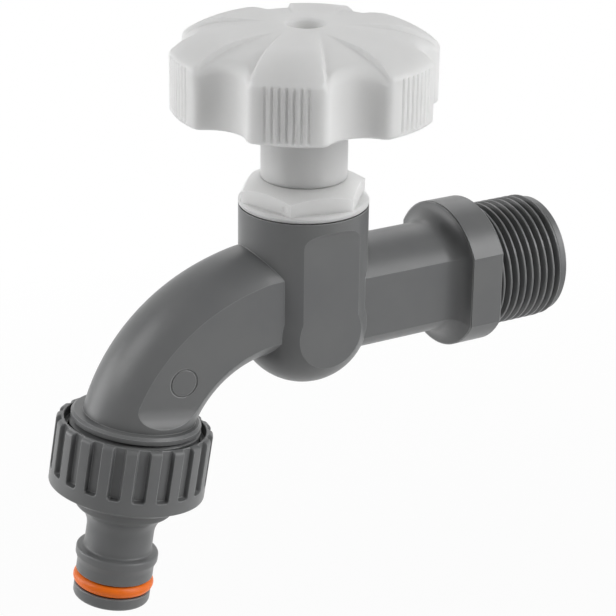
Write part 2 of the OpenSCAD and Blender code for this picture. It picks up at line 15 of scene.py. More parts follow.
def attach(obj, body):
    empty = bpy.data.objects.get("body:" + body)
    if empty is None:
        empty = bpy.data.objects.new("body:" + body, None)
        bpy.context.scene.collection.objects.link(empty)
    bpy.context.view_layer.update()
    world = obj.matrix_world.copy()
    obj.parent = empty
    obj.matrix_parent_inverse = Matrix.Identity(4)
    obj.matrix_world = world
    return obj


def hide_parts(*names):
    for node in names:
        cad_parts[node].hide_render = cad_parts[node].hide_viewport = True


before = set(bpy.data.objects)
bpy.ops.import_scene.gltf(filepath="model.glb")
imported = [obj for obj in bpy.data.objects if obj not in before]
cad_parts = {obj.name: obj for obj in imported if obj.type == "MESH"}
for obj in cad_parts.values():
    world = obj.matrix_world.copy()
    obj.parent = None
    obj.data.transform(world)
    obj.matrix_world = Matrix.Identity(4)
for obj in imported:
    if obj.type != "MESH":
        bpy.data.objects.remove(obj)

Array = np.ndarray
Socket = bpy.types.NodeSocket
MM = 0.001
log = logging.getLogger("garden_tap")


# Colour and node helpers


def linear(code: str) -> tuple[float, float, float, float]:
    """Turns an sRGB hex colour into linear RGBA.

    Args:
        code: Six hex digits after a hash sign.

    Returns:
        Linear red, green and blue, and an alpha of 1.
    """
    parts = [int(code[i:i + 2], 16) / 255 for i in (1, 3, 5)]
    red, green, blue = (c / 12.92 if c <= 0.04045 else ((c + 0.055) / 1.055) ** 2.4 for c in parts)
    return red, green, blue, 1.0


def add_node(
    tree: bpy.types.NodeTree,
    kind: str,
    settings: Mapping[str, object] | None = None,
    links: Mapping[str, Socket] | None = None,
) -> bpy.types.Node:
    """Adds one shader node, with its settings and its links.

    Args:
        tree: The node tree that gets the node.
        kind: Blender's identifier of the node.
        settings: Values by the name of an attribute of the node, or else of one of its inputs.
        links: Output sockets by the name of the input that they feed.

    Returns:
        The new node.
    """
    node = tree.nodes.new(kind)
    for name, value in (settings or {}).items():
        if hasattr(node, name):
            setattr(node, name, value)
        else:
            node.inputs[name].default_value = value
    for name, source in (links or {}).items():
        tree.links.new(source, node.inputs[name])
    return node


def remap(tree: bpy.types.NodeTree, source: Socket, span: tuple[float, float], to: tuple[float, float]) -> Socket:
    """Maps a value linearly from one span to another, clamped.

    Args:
        tree: The node tree.
        source: The value to map.
        span: The lowest and highest value that come in.
        to: What they become.

    Returns:
        The mapped value's socket.
    """
    settings = {"From Min": span[0], "From Max": span[1], "To Min": to[0], "To Max": to[1]}
    return add_node(tree, "ShaderNodeMapRange", settings, {"Value": source}).outputs["Result"]


def blend_colour(tree: bpy.types.NodeTree, factor: Socket, low: str, high: str) -> Socket:
    """Blends two hex colours by a factor from 0 to 1 and returns the colour's socket."""
    node = add_node(tree, "ShaderNodeMix", {"data_type": "RGBA"}, {"Factor": factor})
    node.inputs[6].default_value = linear(low)
    node.inputs[7].default_value = linear(high)
    return node.outputs[2]


# Finishes


@dataclass(frozen=True)
class Finish:
    """A solid finish on Object coordinates: clouds in the colour, painted shade in the corners, painted highlights on
    the edges, a fine grain, soft edges.
    """

    name: str
    colour: str
    cloud: str
    roughness: float
    grain_mm: float
    grain_depth_mm: float
    metallic: float = 0.0
    edge_mm: float = 0.25
    edge_highlight_colour: str | None = None
    cloud_mm: float = 14.0
    roughness_swing: float = 0.04
    coat: float = 0.0
    subsurface: float = 0.0
    subsurface_mm: float = 3.0
    ior: float = 1.5
    corner_shade: float = 0.0
    corner_mm: float = 2.5

    def material(self) -> bpy.types.Material:
        """Builds the finish's material.

        Returns:
            A material with a Principled shader fed by the finish's own pattern nodes.
        """
        made = bpy.data.materials.new(self.name)
        made.use_nodes = True
        tree = made.node_tree
        tree.nodes.clear()
        place = add_node(tree, "ShaderNodeTexCoord").outputs["Object"]
        clouds = add_node(
            tree, "ShaderNodeTexNoise", {"Scale": 1 / (self.cloud_mm * MM), "Detail": 3.0, "Roughness": 0.55},
            {"Vector": place}).outputs["Fac"]
        colour = blend_colour(tree, remap(tree, clouds, (0.35, 0.65), (0.0, 1.0)), self.colour, self.cloud)
        rounded = add_node(tree, "ShaderNodeBevel", {"samples": 6, "Radius": self.edge_mm * MM}).outputs["Normal"]
        # Painted highlight: on edges, where the rounded normal turns away from the face's own, the colour is lightened
        # towards the edge colour.
        if self.edge_highlight_colour:
            flat = add_node(tree, "ShaderNodeNewGeometry").outputs["Normal"]
            turn = add_node(tree, "ShaderNodeVectorMath", {"operation": "DOT_PRODUCT"})
            tree.links.new(flat, turn.inputs[0])
            tree.links.new(rounded, turn.inputs[1])
            edge = remap(tree, turn.outputs["Value"], (0.99, 0.86), (0.0, 1.0))
            mix = add_node(tree, "ShaderNodeMix", {"data_type": "RGBA"}, {"Factor": edge})
            tree.links.new(colour, mix.inputs[6])
            mix.inputs[7].default_value = linear(self.edge_highlight_colour)
            colour = mix.outputs[2]
        # Painted shade: the colour darkens where ambient occlusion finds the surface closed in, in corners, creases and
        # gaps between parts.
        if self.corner_shade:
            open_ = add_node(tree, "ShaderNodeAmbientOcclusion", {"samples": 6, "Distance": self.corner_mm * MM})
            keep = remap(tree, open_.outputs["AO"], (0.25, 0.85), (1 - self.corner_shade, 1.0))
            shade_ = add_node(tree, "ShaderNodeVectorMath", {"operation": "SCALE"}, {"Scale": keep})
            tree.links.new(colour, shade_.inputs[0])
            colour = shade_.outputs["Vector"]
        fine = add_node(
            tree, "ShaderNodeTexNoise", {"Scale": 1 / (self.grain_mm * MM), "Detail": 2.0, "Roughness": 0.6},
            {"Vector": place}).outputs["Fac"]
        bump = add_node(
            tree, "ShaderNodeBump", {"Strength": 1.0, "Distance": self.grain_depth_mm * MM},
            {"Height": fine, "Normal": rounded}).outputs["Normal"]
        smear = add_node(
            tree, "ShaderNodeTexNoise", {"Scale": 1 / (6.0 * MM), "Detail": 4.0, "Roughness": 0.7},
            {"Vector": place}).outputs["Fac"]
        low, high = self.roughness - self.roughness_swing, self.roughness + self.roughness_swing
        rough = remap(tree, smear, (0.3, 0.7), (low, high))
        settings = {"Metallic": self.metallic}
        if not self.metallic:
            settings["IOR"] = self.ior
        if self.coat:
            settings.update({"Coat Weight": self.coat, "Coat Roughness": 0.12})
        if self.subsurface:
            settings.update({"Subsurface Weight": self.subsurface, "Subsurface Scale": self.subsurface_mm * MM,
                             "Subsurface Radius": (1.0, 1.0, 1.0)})
        shader = add_node(
            tree, "ShaderNodeBsdfPrincipled", settings, {"Base Color": colour, "Roughness": rough, "Normal": bump})
        add_node(tree, "ShaderNodeOutputMaterial", None, {"Surface": shader.outputs["BSDF"]})
        return made


class Stock(Enum):
    """The finishes of this tap."""

    # Glass-filled polyamide out of a spark-eroded mould: mid grey, satin, with a faint grain that breaks highlights.
    # Its edges carry a painted highlight and its corners painted shade
    BODY = Finish("moulded_grey_polyamide", "#717272", "#6C6D6E", 0.36, 0.22, 0.006, edge_highlight_colour="#A4A5A5", edge_mm=0.3,
                  corner_shade=0.55, ior=1.42)
    # The same polyamide on the threads, where the mould's crests and roots are sharp. It is drawn a touch darker than
    # the body as painted shade, with a bright painted highlight on the crests and edges and painted shade in the roots
    THREAD = Finish("moulded_grey_thread", "#6B6C6C", "#666768", 0.36, 0.2, 0.003, edge_highlight_colour="#CDCECE", edge_mm=0.1,
                    corner_shade=0.3, corner_mm=1.2)
    # ABS out of a finely blasted mould: cool white, satin, letting a little light into thin walls. It has a faint
    # painted highlight on its edges and faint painted shade in its corners
    WHEEL = Finish("moulded_white_abs", "#F1F1F0", "#EEEEED", 0.52, 0.2, 0.003, subsurface=1.0, subsurface_mm=4.5,
                   edge_mm=0.3, edge_highlight_colour="#FCFCFB", corner_shade=0.15, corner_mm=0.7, ior=1.42)
    # Nitrile ring, wet-moulded and slightly shiny, in a strong orange
    ORANGE_RING = Finish("orange_nitrile", "#FF7A10", "#FB740C", 0.38, 0.3, 0.003, edge_mm=0.05, ior=1.42)
    # Black nitrile rubber with a dusty matt skin
    BLACK_RUBBER = Finish("black_nitrile", "#1B1B1C", "#222223", 0.62, 0.25, 0.005, edge_mm=0.1)
    # Brass turned on a lathe: warm metal with fine tool marks
    BRASS = Finish("turned_brass", "#D9B36A", "#CFA75C", 0.28, 0.12, 0.002, metallic=1.0, edge_mm=0.15)
    # Zinc-plated steel screw: cool bright metal with a slightly cloudy plate
    PLATED = Finish("zinc_plated_steel", "#C4C6C8", "#B4B7BA", 0.3, 0.15, 0.002, metallic=1.0, edge_mm=0.1)


_made: dict[str, bpy.types.Material] = {}


def material(stock: Stock) -> bpy.types.Material:
    """Returns a finish's material, made once."""
    if stock.name not in _made:
        _made[stock.name] = stock.value.material()
    return _made[stock.name]


def dress(thing: bpy.types.Object, stock: Stock) -> None:
    """Gives an object one finish all over, in place of what it had."""
    thing.data.materials.clear()
    thing.data.materials.append(material(stock))


# Mesh helpers


def smoothstep(low: float, high: float, value: Array) -> Array:
    """Rises from 0 at low to 1 at high along 3t^2 - 2t^3, where t is the clamped share of the way."""
    t = np.clip((value - low) / (high - low), 0.0, 1.0)
    return t * t * (3 - 2 * t)


def arc(centre: tuple[float, float], radius: float, start: float, stop: float, count: int) -> Array:
    """Points on a circle's arc in a section plane.

    Args:
        centre: The circle's centre, as radius and height.
        radius: The circle's radius.
        start: The first point's angle from the outward direction, in degrees.
        stop: The last point's angle.
        count: How many points.

    Returns:
        An array of points, one row each.
    """
    turn = np.radians(np.linspace(start, stop, count))
    return np.stack([centre[0] + radius * np.cos(turn), centre[1] + radius * np.sin(turn)], -1)


def ring_faces(rows: int, columns: int, offset: int = 0) -> Array:
    """Quads of a grid that closes on itself in both directions, for points stored row by row.

    Args:
        rows: Rows of the grid.
        columns: Points in a row.
        offset: Index of the grid's first point.

    Returns:
        An array of four indices a face; the face's normal is (next column) x (next row).
    """
    row, column = np.meshgrid(np.arange(rows), np.arange(columns), indexing="ij")
    after, beside = (row + 1) % rows, (column + 1) % columns
    quads = [row * columns + column, row * columns + beside, after * columns + beside, after * columns + column]
    return np.stack(quads, -1).reshape(-1, 4) + offset


def new_mesh(name: str, points: Array, faces: Array) -> bpy.types.Mesh:
    """Makes a mesh from rows of points in millimetres and rows of vertex indices."""
    mesh = bpy.data.meshes.new(name)
    mesh.from_pydata((np.asarray(points, float) * MM).tolist(), [], np.asarray(faces).tolist())
    mesh.validate()
    return mesh


def new_piece(name: str, points: Array, faces: Array, crisp: float = 32.0) -> bpy.types.Object:
    """Makes an object at the origin from points in millimetres.

    Args:
        name: The piece's name.
        points: One row of X, Y and Z for each vertex, in millimetres.
        faces: One row of vertex indices for each face.
        crisp: Edges that turn by more than this many degrees stay sharp.

    Returns:
        The new object, in the scene's collection.
    """
    mesh = new_mesh(name, points, faces)
    shade(mesh, crisp)
    return link(name, mesh)


def shade(mesh: bpy.types.Mesh, crisp: float) -> None:
    """Shades a mesh smooth and marks the edges that turn by more than crisp degrees as sharp."""
    mesh.shade_smooth()
    mesh.set_sharp_from_angle(angle=math.radians(crisp))


def link(name: str, mesh: bpy.types.Mesh) -> bpy.types.Object:
    """Puts a mesh into the scene as an object at the origin and returns the object."""
    piece = bpy.data.objects.new(name, mesh)
    bpy.context.scene.collection.objects.link(piece)
    return piece


# Handwheel


@dataclass
class Handwheel:
    """The white handwheel: lobed plan, raised petals on a dome, grooved grips, webbed underside and hub.

    Sizes are in millimetres. Angles in the plan are counted from the middle of a lobe.
    """

    axis_x: float = -55.173
    turn: float = -7.6
    lobes: int = 6
    radius: float = 26.8
    corner: float = 2.0
    hollow: float = 7.8
    hollow_depth: float = 3.8
    wall: float = 2.2
    rim_z: float = 41.8
    crown_z: float = 58.62
    crown_radius: float = 219.0
    crown_edge: float = 16.3
    shoulder_radius: float = 18.0
    lobe_edge: float = 0.6
    hollow_edge: float = 1.9
    valley: float = 1.0
    valley_start: float = 6.6
    valley_spread: float = 0.33
    grooves: int = 7
    groove_step: float = 3.0
    groove_depth: float = 0.5
    groove_half: float = 0.46
    well: float = 3.6
    well_z: float = 49.3
    hub: float = 8.75
    hub_z: float = 27.38
    neck_bore: float = 7.1
    neck_top: float = 38.6
    square_bore: float = 4.3
    square_top: float = 47.3
    screw_hole: float = 1.6
    web: float = 1.6

    def folded(self, theta: Array) -> Array:
        """Angle in radians from the nearest hollow's centre line: the wheel repeats and mirrors about it."""
        step = 2 * math.pi / self.lobes
        return np.abs(np.mod(theta, step) - step / 2)

    def corner_centre(self, radius: float, hollow: float, corner: float) -> tuple[float, float]:
        """Centre of a lobe's corner circle, which touches the outer circle from inside and the hollow from outside."""
        far = self.radius - self.hollow_depth + self.hollow
        reach = radius - corner
        cosine = (reach ** 2 + far ** 2 - (hollow + corner) ** 2) / (2 * reach * far)
        return reach * cosine, reach * math.sqrt(1 - cosine ** 2)

    def outline(self, theta: Array, inset: float = 0.0) -> Array:
        """Radius of the plan's outline, from the hollow's arc, the corner's arc and the outer circle in turn.

        Args:
            theta: Angles in radians.
            inset: How far inside the outer face the outline runs.

        Returns:
            The distance from the axis to the outline at each angle.
        """
        far = self.radius - self.hollow_depth + self.hollow
        radius, hollow = self.radius - inset, self.hollow + inset
        corner = max(self.corner - inset, 0.5)
        cx, cy = self.corner_centre(radius, hollow, corner)
        share = hollow / (hollow + corner)
        touch = math.atan2(cy * share, far + (cx - far) * share)
        angle = self.folded(theta)
        c, s = np.cos(angle), np.sin(angle)
        scoop = far * c - np.sqrt(np.maximum(hollow ** 2 - (far * s) ** 2, 0.0))
        along = cx * c + cy * s
        rounded = along + np.sqrt(np.maximum(corner ** 2 - cx ** 2 - cy ** 2 + along ** 2, 0.0))
        result = np.where(angle < touch, scoop, rounded)
        return np.where(angle < math.atan2(cy, cx), result, radius)

    def depth_inside(self, theta: Array, r: Array) -> Array:
        """Distance from a point of the plan to the outline: the least of those to the outer circle and the hollow,
        or in a lobe's corner the corner's radius less the distance to its centre."""
        far = self.radius - self.hollow_depth + self.hollow
        cx, cy = self.corner_centre(self.radius, self.hollow, self.corner)
        angle = self.folded(theta)
        x, y = r * np.cos(angle), r * np.sin(angle)
        plain = np.minimum(self.radius - r, np.hypot(x - far, y) - self.hollow)
        dx, dy = x - cx, y - cy
        outward = dx * (-cy) + dy * cx < 0
        to_hollow = dx * (-cy) - dy * (far - cx) < 0
        facing = np.arctan2(dy, dx)
        low, high = math.atan2(-cy, far - cx), math.atan2(cy, cx)
        in_corner = (facing > low) & (facing < high) & (outward | ~to_hollow)
        return np.where(in_corner, self.corner - np.hypot(dx, dy), plain)

    def crown(self, r: Array) -> Array:
        """Height of the dome over the petals: a sphere's cap, crown_z - r^2 / (2 crown_radius), out to crown_edge, then
        a circle's arc of the shoulder's radius that starts at the cap's slope."""
        slope = self.crown_edge / self.crown_radius
        cap = self.crown_z - r ** 2 / (2 * self.crown_radius)
        start = self.crown_z - self.crown_edge ** 2 / (2 * self.crown_radius)
        middle = self.crown_edge - self.shoulder_radius * slope
        low = start - self.shoulder_radius * math.sqrt(1 - slope ** 2)
        bend = low + np.sqrt(np.maximum(self.shoulder_radius ** 2 - (r - middle) ** 2, 0.0))
        return np.where(r < self.crown_edge, cap, bend)

    def rounding(self, theta: Array) -> Array:
        """Radius of the top edge: tight over the grip faces and softer in the hollows, eased between them."""
        far = self.radius - self.hollow_depth + self.hollow
        cx, cy = self.corner_centre(self.radius, self.hollow, self.corner)
        share = self.hollow / (self.hollow + self.corner)
        touch = math.atan2(cy * share, far + (cx - far) * share)
        out = smoothstep(touch * 0.55, math.atan2(cy, cx), self.folded(theta))
        return self.hollow_edge + (self.lobe_edge - self.hollow_edge) * out

    def valley_drop(self, theta: Array, r: Array) -> Array:
        """How far the top lies below the petals: full between two lines that spread from the well, with a soft
        step at each line, and growing from nothing at valley_start to its full depth near the rim."""
        aside = r * np.sin(self.folded(theta))
        half = self.valley_spread * (r - self.valley_start)
        soft = 0.26
        inside = 1 - smoothstep(-soft, soft, aside - half)
        return self.valley * inside * smoothstep(self.valley_start, 21.0, r)

    def angles(self) -> Array:
        """Angles of the grid's columns: fine across the grooves, coarser in the hollows."""
        step = 360.0 / self.lobes
        edge = (self.grooves / 2 + 0.3) * self.groove_step
        fine = np.arange(-edge, edge, self.groove_step / 10)
        coarse = np.linspace(edge, step - edge, 46, endpoint=False)
        one = np.concatenate([fine, coarse])
        return np.radians(np.concatenate([one + k * step for k in range(self.lobes)]))

    def groove(self, theta: Array, z: Array) -> Array:
        """Depth of the grip grooves: raised-cosine furrows at even angles on a lobe, faded out at both ends."""
        step = 360.0 / self.lobes
        angle = np.mod(np.degrees(theta) + step / 2, step) - step / 2
        nearest = np.round(angle / self.groove_step)
        kept = np.abs(nearest) <= (self.grooves - 1) / 2
        aside = np.radians(angle - nearest * self.groove_step) * self.radius
        furrow = np.where(np.abs(aside) < self.groove_half, 0.5 + 0.5 * np.cos(np.pi * aside / self.groove_half), 0.0)
        top = self.crown(np.array(self.radius)) - self.lobe_edge
        run = smoothstep(self.rim_z + 0.5, self.rim_z + 0.9, z) * (1 - smoothstep(top - 0.1, top + 0.5, z))
        return self.groove_depth * np.where(kept, furrow, 0.0) * run

    def section(self, theta: Array) -> tuple[Array, Array]:
        """The wheel's wall as a closed loop of rows, each a ring of radius and height over the angles.

        The rows run up the well, over the dome to the outline, down the grip face, in under the rim, up inside the
        wall, in under the dome, down the hub, up its bore and through the screw's hole back to the well.

        Args:
            theta: The columns' angles.

        Returns:
            Radii and heights, each with a row for each ring.
        """
        one = np.ones_like(theta)
        rings: list[tuple[Array, Array]] = []

        def turned(points: Array) -> None:
            rings.extend((r * one, z * one) for r, z in points)

        lip = 0.7
        well_top = float(self.crown(np.array(self.well + lip))) - lip
        turned(np.array([[self.well, self.well_z], [self.well, 52.0], [self.well, 55.0], [self.well, well_top]]))
        turned(arc((self.well + lip, well_top), lip, 180, 90, 6)[1:])
        outer = self.outline(theta)
        start = self.well + lip
        edge = self.rounding(theta)
        inner_end = edge * 1.5
        for share in np.linspace(0.0, 1.0, 34)[1:]:
            r = start + (outer - inner_end - start) * share
            rings.append((r, self.crown(r) - self.valley_drop(theta, r)))
        bend = np.radians(np.concatenate([[-18, -8], np.linspace(0, 90, 13)]))
        for alpha in bend:
            r = outer - edge * (1 - math.sin(alpha))
            d = np.clip(self.depth_inside(theta, r), 0.0, edge)
            round_drop = edge - np.sqrt(np.maximum(edge ** 2 - (edge - d) ** 2, 0.0))
            z = self.crown(r) - self.valley_drop(theta, r) - round_drop
            rings.append((r - self.groove(theta, z), z))
        top = rings[-1][1]
        foot = 0.6
        shares = np.concatenate([[0.02, 0.05, 0.09, 0.14], np.linspace(0.2, 0.86, 10), [0.9, 0.925, 0.95, 0.975, 1.0]])
        for share in shares:
            z = top + (self.rim_z + foot - top) * share
            rings.append((outer - self.groove(theta, z), z))
        for r, z in arc((-foot, self.rim_z + foot), foot, 0, -90, 6)[1:]:
            rings.append((outer + r, z * one))
        inner = self.outline(theta, self.wall)
        rings.append((inner + 0.3, self.rim_z * one))
        rings.append((inner, (self.rim_z + 0.3) * one))
        ceiling = self.wall + 1.0
        reach = inner - 1.0
        high = self.crown(inner) - ceiling - 1.0
        for share in (0.35, 0.7, 1.0):
            rings.append((inner, self.rim_z + 0.3 + (high - self.rim_z - 0.3) * share))
        for share in np.linspace(0.0, 1.0, 9):
            r = reach + (self.hub + 0.8 - reach) * share
            rings.append((r, self.crown(r) - ceiling))
        hub_top = float(self.crown(np.array(self.hub))) - ceiling - 0.8
        turned(np.array([[self.hub, hub_top], [self.hub, 46.0], [self.hub, 40.0], [self.hub, 34.0],
                         [self.hub, self.hub_z + 0.15], [self.hub - 0.15, self.hub_z], [self.neck_bore + 0.3, self.hub_z],
                         [self.neck_bore, self.hub_z + 0.3], [self.neck_bore, 33.0], [self.neck_bore, self.neck_top],
                         [self.square_bore, self.neck_top], [self.square_bore, 43.0], [self.square_bore, self.square_top],
                         [self.screw_hole, self.square_top], [self.screw_hole, self.well_z]]))
        return np.stack([r for r, _ in rings]), np.stack([z for _, z in rings])

    def webs(self, offset: int) -> tuple[Array, Array]:
        """Radial webs under the dome, one in the middle of each lobe, each a closed plate from hub to wall.

        Args:
            offset: Index of the first of their points in the piece's mesh.

        Returns:
            Points in the wheel's own frame and faces.
        """
        count = 9
        r = np.linspace(self.hub - 0.4, self.radius - self.wall + 0.4, count)
        half = self.web / 2
        top = self.crown(r) - self.wall - 0.6
        low = np.full(count, self.rim_z + 1.0)
        loop = [(-half, low), (half, low), (half, top), (-half, top)]
        shape = np.stack([np.stack([r, np.full(count, y), z], -1) for y, z in loop], 1)
        points, faces = [], []
        for k in range(self.lobes):
            turn = 2 * math.pi * k / self.lobes
            c, s = math.cos(turn), math.sin(turn)
            spun = shape.reshape(-1, 3) @ np.array([[c, s, 0], [-s, c, 0], [0, 0, 1]])
            base = offset + k * count * 4
            row = np.arange(count - 1)[:, None] * 4 + base
            column = np.arange(4)[None, :]
            beside = (column + 1) % 4
            side = np.stack([row + column, row + 4 + column, row + 4 + beside, row + beside], -1).reshape(-1, 4)
            ends = np.array([[0, 1, 2, 3], [4 * count - 1, 4 * count - 2, 4 * count - 3, 4 * count - 4]]) + base
            points.append(spun)
            faces.append(np.concatenate([side[:, ::-1], ends[:, ::-1]]))
        return np.concatenate(points), np.concatenate(faces)

    def build(self) -> bpy.types.Object:
        """Builds the wheel in place of the CAD one and puts it on the spindle's body.

        Returns:
            The finished piece.
        """
        theta = self.angles()
        radii, heights = self.section(theta)
        points = np.stack([radii * np.cos(theta), radii * np.sin(theta), heights], -1).reshape(-1, 3)
        faces = ring_faces(len(radii), len(theta))[:, ::-1]
        more, sides = self.webs(len(points))
        points = np.concatenate([points, more])
        turn = math.radians(self.turn)
        c, s = math.cos(turn), math.sin(turn)
        points = points @ np.array([[c, s, 0], [-s, c, 0], [0, 0, 1]]) + [self.axis_x, 0, 0]
        piece = new_piece("lobed_handwheel", points, np.concatenate([faces, sides]), crisp=38)
        dress(piece, Stock.WHEEL)
        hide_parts("handwheel")
        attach(piece, "spindle_and_wheel")
        return piece


# Body


@dataclass(frozen=True)
class PipeThread:
    """A right-handed pipe thread with its plain lead-in, as a tube along its own X axis. Sizes in millimetres."""

    root: float
    crest: float
    pitch: float
    start: float
    stop: float
    crest_flat: float
    land: float
    land_length: float
    bore: float
    phase: float
    columns: int = 180
    steps: int = 13

    def tube(self) -> tuple[Array, Array]:
        """The threaded tube as a closed shell.

        The outer radius at x and angle is the root plus the thread's depth times a flat-topped wave of
        (x / pitch - angle / turn), or the lead-in's radius where that is larger.

        Returns:
            Points in the thread's own frame and faces.
        """
        theta = np.linspace(0, 2 * np.pi, self.columns, endpoint=False)
        x = np.linspace(self.start, self.stop - 0.3, int((self.stop - self.start) / self.pitch * self.steps))
        along, round_ = np.meshgrid(x, theta, indexing="ij")
        wave = np.mod((along - self.phase) / self.pitch - round_ / (2 * np.pi), 1.0)
        aside = np.abs(wave - 0.5) * 2
        flat = self.crest_flat / self.pitch
        height = np.clip((0.94 - aside) / (0.94 - flat), 0.0, 1.0)
        ramp = self.stop - self.land_length
        fade = 1 - smoothstep(ramp - 0.5, ramp + 0.2, along)
        outer = self.root + (self.crest - self.root) * height * fade
        outer = np.maximum(outer, self.root + (self.land - self.root) * smoothstep(ramp - 0.25, ramp + 0.1, along))
        one = np.ones(self.columns)
        rows = [(a, r) for a, r in zip(along, outer)]
        tail = [(self.stop, self.land - 0.3), (self.stop, self.bore + 0.9), (self.stop - 0.9, self.bore),
                (self.start, self.bore), (self.start, self.root)]
        rows += [(a * one, r * one) for a, r in tail]
        xs, rs = np.stack([a for a, _ in rows]), np.stack([r for _, r in rows])
        points = np.stack([xs, rs * np.cos(theta), rs * np.sin(theta)], -1).reshape(-1, 3)
        return points, ring_faces(len(rows), self.columns)


@dataclass
class TapBody:
    """The grey body: the CAD solid's own surface, with true helical threads on its inlet and outlet."""

    axis_x: float = -55.173
    collar_x: float = 40.7
    inlet_end: float = 57.9
    inlet_phase: float = 41.236
    outlet: tuple[float, float] = (-39.98049, -28.51291)
    lean: float = 9.6
    shoulder: float = 10.4
    cut: float = 0.2
    chamber_r: float = 13.2
    spout_r: float = 11.15
    skin_within: float = 8.6
    bend_centre: tuple[float, float] = (-9.4, -27.6)
    bend_r: float = 30.0
    flare_top: float = 0.75
    flare_fall: float = 9.0

    def cut_back(self, work: bmesh.types.BMesh, point: Vector, normal: Vector) -> None:
        """Cuts off what lies past a plane and closes the tube that is left with a flat ring."""
        before = {edge for edge in work.edges if edge.is_boundary}
        bmesh.ops.bisect_plane(
            work, geom=work.verts[:] + work.edges[:] + work.faces[:], dist=1e-7, plane_co=point, plane_no=normal,
            clear_outer=True)
        rim = [edge for edge in work.edges if edge.is_boundary and edge not in before]
        bmesh.ops.bridge_loops(work, edges=rim)

    def flare(self, mesh: bpy.types.Mesh) -> None:
        """Raises the spout's top towards the valve chamber, where the moulding blends the two.

        A point of the outer skin rises by flare_top times exp(-distance from the chamber's wall / flare_fall) times a
        soft step from the spout's lower side to its top. The chamber's wall is upright, so the line on it slides up.

        Args:
            mesh: The body's mesh, changed in place.
        """
        flat = np.empty(len(mesh.vertices) * 3)
        mesh.vertices.foreach_get("co", flat)
        points = flat.reshape(-1, 3) / MM
        x, y, z = points[:, 0] - self.axis_x, points[:, 1], points[:, 2]
        over = np.hypot(x - self.bend_centre[0], z - self.bend_centre[1]) - self.bend_r
        outer = np.hypot(over, y)
        beside = (x < self.bend_centre[0] + 0.5) & (z > self.bend_centre[1])
        skin = beside & (outer > self.skin_within) & (outer < self.spout_r + 0.06)
        fade = np.exp(np.minimum(x + self.chamber_r, 0.0) / self.flare_fall)
        rise = self.flare_top * fade * smoothstep(-4.0, 7.0, over)
        points[:, 2] = np.where(skin, z + rise, z)
        mesh.vertices.foreach_set("co", (points * MM).reshape(-1))
        mesh.update()

    def build(self) -> bpy.types.Object:
        """Builds the dressed body in place of the CAD one.

        Returns:
            The finished piece.
        """
        lean = math.radians(self.lean)
        up = Vector((math.sin(lean), 0, math.cos(lean)))
        foot = Vector((self.axis_x + self.outlet[0], 0, self.outlet[1]))
        work = bmesh.new()
        work.from_mesh(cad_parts["tap_body"].data)
        bmesh.ops.remove_doubles(work, verts=work.verts, dist=1e-6)
        inlet_x = self.axis_x + self.collar_x + self.cut
        self.cut_back(work, Vector((inlet_x, 0, 0)) * MM, Vector((1, 0, 0)))
        self.cut_back(work, (foot + up * (self.shoulder - self.cut)) * MM, -up)
        plain_faces = len(work.faces)
        inlet = PipeThread(root=12.06, crest=13.22, pitch=1.8143, start=self.collar_x + self.cut - 0.3,
                           stop=self.inlet_end, crest_flat=0.42, land=12.55, land_length=1.7, bore=8.0,
                           phase=self.inlet_phase)
        points, faces = inlet.tube()
        work.from_mesh(new_mesh("inlet_thread", points + [self.axis_x, 0, 0], faces))
        outlet = PipeThread(root=12.06, crest=13.22, pitch=1.8143, start=-(self.shoulder - self.cut + 0.1), stop=0.0,
                            crest_flat=0.36, land=12.0, land_length=0.5, bore=8.0, phase=-9.5, columns=150, steps=11)
        points, faces = outlet.tube()
        basis = np.array([-np.array(up), [0, 1, 0], np.cross(-np.array(up), [0, 1, 0])])
        work.from_mesh(new_mesh("outlet_thread", points @ basis + np.array(foot), faces))
        mesh = bpy.data.meshes.new("moulded_body")
        work.to_mesh(mesh)
        work.free()
        if mesh.has_custom_normals:
            mesh.attributes.remove(mesh.attributes["custom_normal"])
        self.flare(mesh)
        shade(mesh, 24)
        piece = link("moulded_body", mesh)
        dress(piece, Stock.BODY)
        mesh.materials.append(material(Stock.THREAD))
        slots = np.zeros(len(mesh.polygons), np.int32)
        slots[plain_faces:] = 1
        mesh.polygons.foreach_set("material_index", slots)
        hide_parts("tap_body")
        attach(piece, "root")
        return piece


# Hose connector


